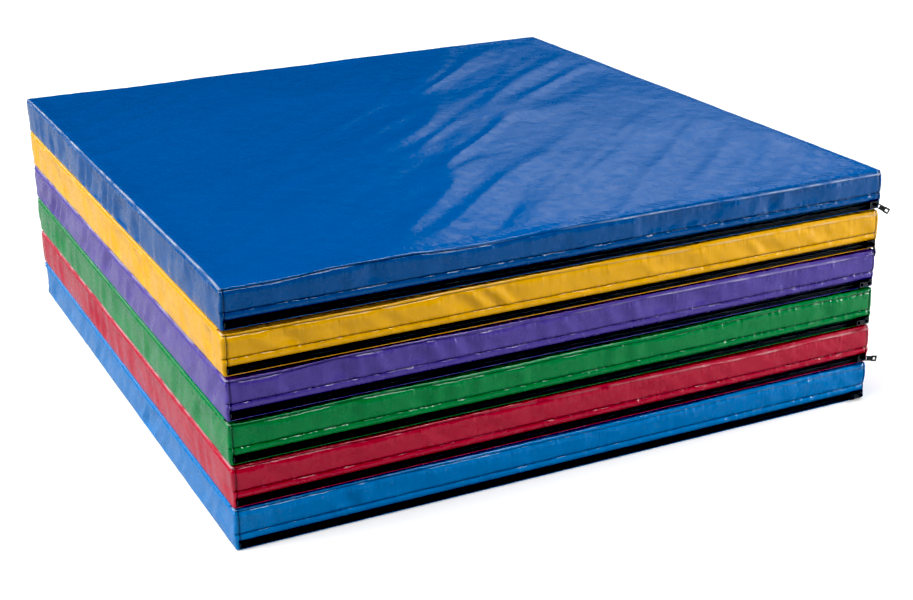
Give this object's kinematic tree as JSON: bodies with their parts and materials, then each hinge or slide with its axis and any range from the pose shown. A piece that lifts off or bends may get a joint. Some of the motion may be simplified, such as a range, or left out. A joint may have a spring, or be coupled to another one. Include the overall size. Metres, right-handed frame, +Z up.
{
  "type": "folding gym mat",
  "caption": "Square foam panels in coloured zipped vinyl covers, joined by hinge strips at alternate edges and folded concertina-fashion into a square stack.",
  "frame": {"origin": "on the floor, under the middle of the folded stack: the centre of the lowest panel's underside", "axes": "+X along the zips towards the end where the sliders rest, +Y from the zip side to the back, +Z up"},
  "size_m": [1.0109, 1.0731, 0.3593],
  "materials": {
    "sky_vinyl": "smooth glossy sky blue PVC-coated polyester",
    "red_vinyl": "smooth glossy red PVC-coated polyester",
    "green_vinyl": "smooth glossy green PVC-coated polyester",
    "purple_vinyl": "smooth glossy purple PVC-coated polyester",
    "yellow_vinyl": "smooth glossy yellow PVC-coated polyester",
    "royal_vinyl": "smooth glossy royal blue PVC-coated polyester",
    "foam": "open-cell polyurethane foam, cut faces",
    "zip_nylon": "black woven polyester tape with a nylon coil",
    "zip_metal": "black enamelled zinc die casting"
  },
  "bodies": {
    "sky_panel": {"sky_foam_core": "foam", "sky_top_sheet": "sky_vinyl", "sky_base_sheet": "sky_vinyl", "sky_side_band": "sky_vinyl", "sky_zip_chain": "zip_nylon", "sky_zip_stops": "zip_metal", "hinge_sky_red_lower_leaf": "sky_vinyl"},
    "red_panel": {"red_foam_core": "foam", "red_top_sheet": "red_vinyl", "red_base_sheet": "red_vinyl", "red_side_band": "red_vinyl", "red_zip_chain": "zip_nylon", "red_zip_stops": "zip_metal", "hinge_sky_red_upper_leaf": "red_vinyl", "hinge_red_green_lower_leaf": "red_vinyl"},
    "green_panel": {"green_foam_core": "foam", "green_top_sheet": "green_vinyl", "green_base_sheet": "green_vinyl", "green_side_band": "green_vinyl", "green_zip_chain": "zip_nylon", "green_zip_stops": "zip_metal", "hinge_red_green_upper_leaf": "green_vinyl", "hinge_green_purple_lower_leaf": "green_vinyl"},
    "purple_panel": {"purple_foam_core": "foam", "purple_top_sheet": "purple_vinyl", "purple_base_sheet": "purple_vinyl", "purple_side_band": "purple_vinyl", "purple_zip_chain": "zip_nylon", "purple_zip_stops": "zip_metal", "hinge_green_purple_upper_leaf": "purple_vinyl", "hinge_purple_yellow_lower_leaf": "purple_vinyl"},
    "yellow_panel": {"yellow_foam_core": "foam", "yellow_top_sheet": "yellow_vinyl", "yellow_base_sheet": "yellow_vinyl", "yellow_side_band": "yellow_vinyl", "yellow_zip_chain": "zip_nylon", "yellow_zip_stops": "zip_metal", "hinge_purple_yellow_upper_leaf": "yellow_vinyl", "hinge_yellow_royal_lower_leaf": "yellow_vinyl"},
    "royal_panel": {"royal_foam_core": "foam", "royal_top_sheet": "royal_vinyl", "royal_base_sheet": "royal_vinyl", "royal_side_band": "royal_vinyl", "royal_zip_chain": "zip_nylon", "royal_zip_stops": "zip_metal", "hinge_yellow_royal_upper_leaf": "royal_vinyl"},
    "sky_slider": {"sky_zip_slider": "zip_metal"},
    "sky_pull": {"sky_zip_pull": "zip_metal"},
    "red_slider": {"red_zip_slider": "zip_metal"},
    "red_pull": {"red_zip_pull": "zip_metal"},
    "green_slider": {"green_zip_slider": "zip_metal"},
    "green_pull": {"green_zip_pull": "zip_metal"},
    "purple_slider": {"purple_zip_slider": "zip_metal"},
    "purple_pull": {"purple_zip_pull": "zip_metal"},
    "yellow_slider": {"yellow_zip_slider": "zip_metal"},
    "yellow_pull": {"yellow_zip_pull": "zip_metal"},
    "royal_slider": {"royal_zip_slider": "zip_metal"},
    "royal_pull": {"royal_zip_pull": "zip_metal"}
  },
  "joints": [
    {"name": "red_fold", "type": "hinge", "parent": "sky_panel", "child": "red_panel", "pos_m": [-0.502, 0, 0.05905], "axis": [0, -1, 0], "range_deg": [0, 180]},
    {"name": "green_fold", "type": "hinge", "parent": "red_panel", "child": "green_panel", "pos_m": [0.502, 0, 0.11935], "axis": [0, 1, 0], "range_deg": [0, 180]},
    {"name": "purple_fold", "type": "hinge", "parent": "green_panel", "child": "purple_panel", "pos_m": [-0.502, 0, 0.17965], "axis": [0, -1, 0], "range_deg": [0, 180]},
    {"name": "yellow_fold", "type": "hinge", "parent": "purple_panel", "child": "yellow_panel", "pos_m": [0.502, 0, 0.23995], "axis": [0, 1, 0], "range_deg": [0, 180]},
    {"name": "royal_fold", "type": "hinge", "parent": "yellow_panel", "child": "royal_panel", "pos_m": [-0.502, 0, 0.30025], "axis": [0, -1, 0], "range_deg": [0, 180]},
    {"name": "sky_zip_slide", "type": "slide", "parent": "sky_panel", "child": "sky_slider", "axis": [-1, 0, 0], "range_m": [0, 0.9724]},
    {"name": "sky_pull_swing", "type": "hinge", "parent": "sky_slider", "child": "sky_pull", "pos_m": [0.4892, -0.53045, 0.008], "axis": [0, 0, 1], "range_deg": [0, 180]},
    {"name": "red_zip_slide", "type": "slide", "parent": "red_panel", "child": "red_slider", "axis": [-1, 0, 0], "range_m": [0, 0.9724]},
    {"name": "red_pull_swing", "type": "hinge", "parent": "red_slider", "child": "red_pull", "pos_m": [0.4892, -0.53045, 0.0683], "axis": [0, 0, 1], "range_deg": [-165, 15]},
    {"name": "green_zip_slide", "type": "slide", "parent": "green_panel", "child": "green_slider", "axis": [-1, 0, 0], "range_m": [0, 0.9724]},
    {"name": "green_pull_swing", "type": "hinge", "parent": "green_slider", "child": "green_pull", "pos_m": [0.4892, -0.53045, 0.1286], "axis": [0, 0, 1], "range_deg": [0, 180]},
    {"name": "purple_zip_slide", "type": "slide", "parent": "purple_panel", "child": "purple_slider", "axis": [-1, 0, 0], "range_m": [0, 0.9724]},
    {"name": "purple_pull_swing", "type": "hinge", "parent": "purple_slider", "child": "purple_pull", "pos_m": [0.4892, -0.53045, 0.1889], "axis": [0, 0, 1], "range_deg": [0, 180]},
    {"name": "yellow_zip_slide", "type": "slide", "parent": "yellow_panel", "child": "yellow_slider", "axis": [-1, 0, 0], "range_m": [0, 0.9724]},
    {"name": "yellow_pull_swing", "type": "hinge", "parent": "yellow_slider", "child": "yellow_pull", "pos_m": [0.4892, -0.53045, 0.2492], "axis": [0, 0, 1], "range_deg": [-60, 120]},
    {"name": "royal_zip_slide", "type": "slide", "parent": "royal_panel", "child": "royal_slider", "axis": [-1, 0, 0], "range_m": [0, 0.9724]},
    {"name": "royal_pull_swing", "type": "hinge", "parent": "royal_slider", "child": "royal_pull", "pos_m": [0.4892, -0.53045, 0.3095], "axis": [0, 0, 1], "range_deg": [-130, 50]}
  ]
}
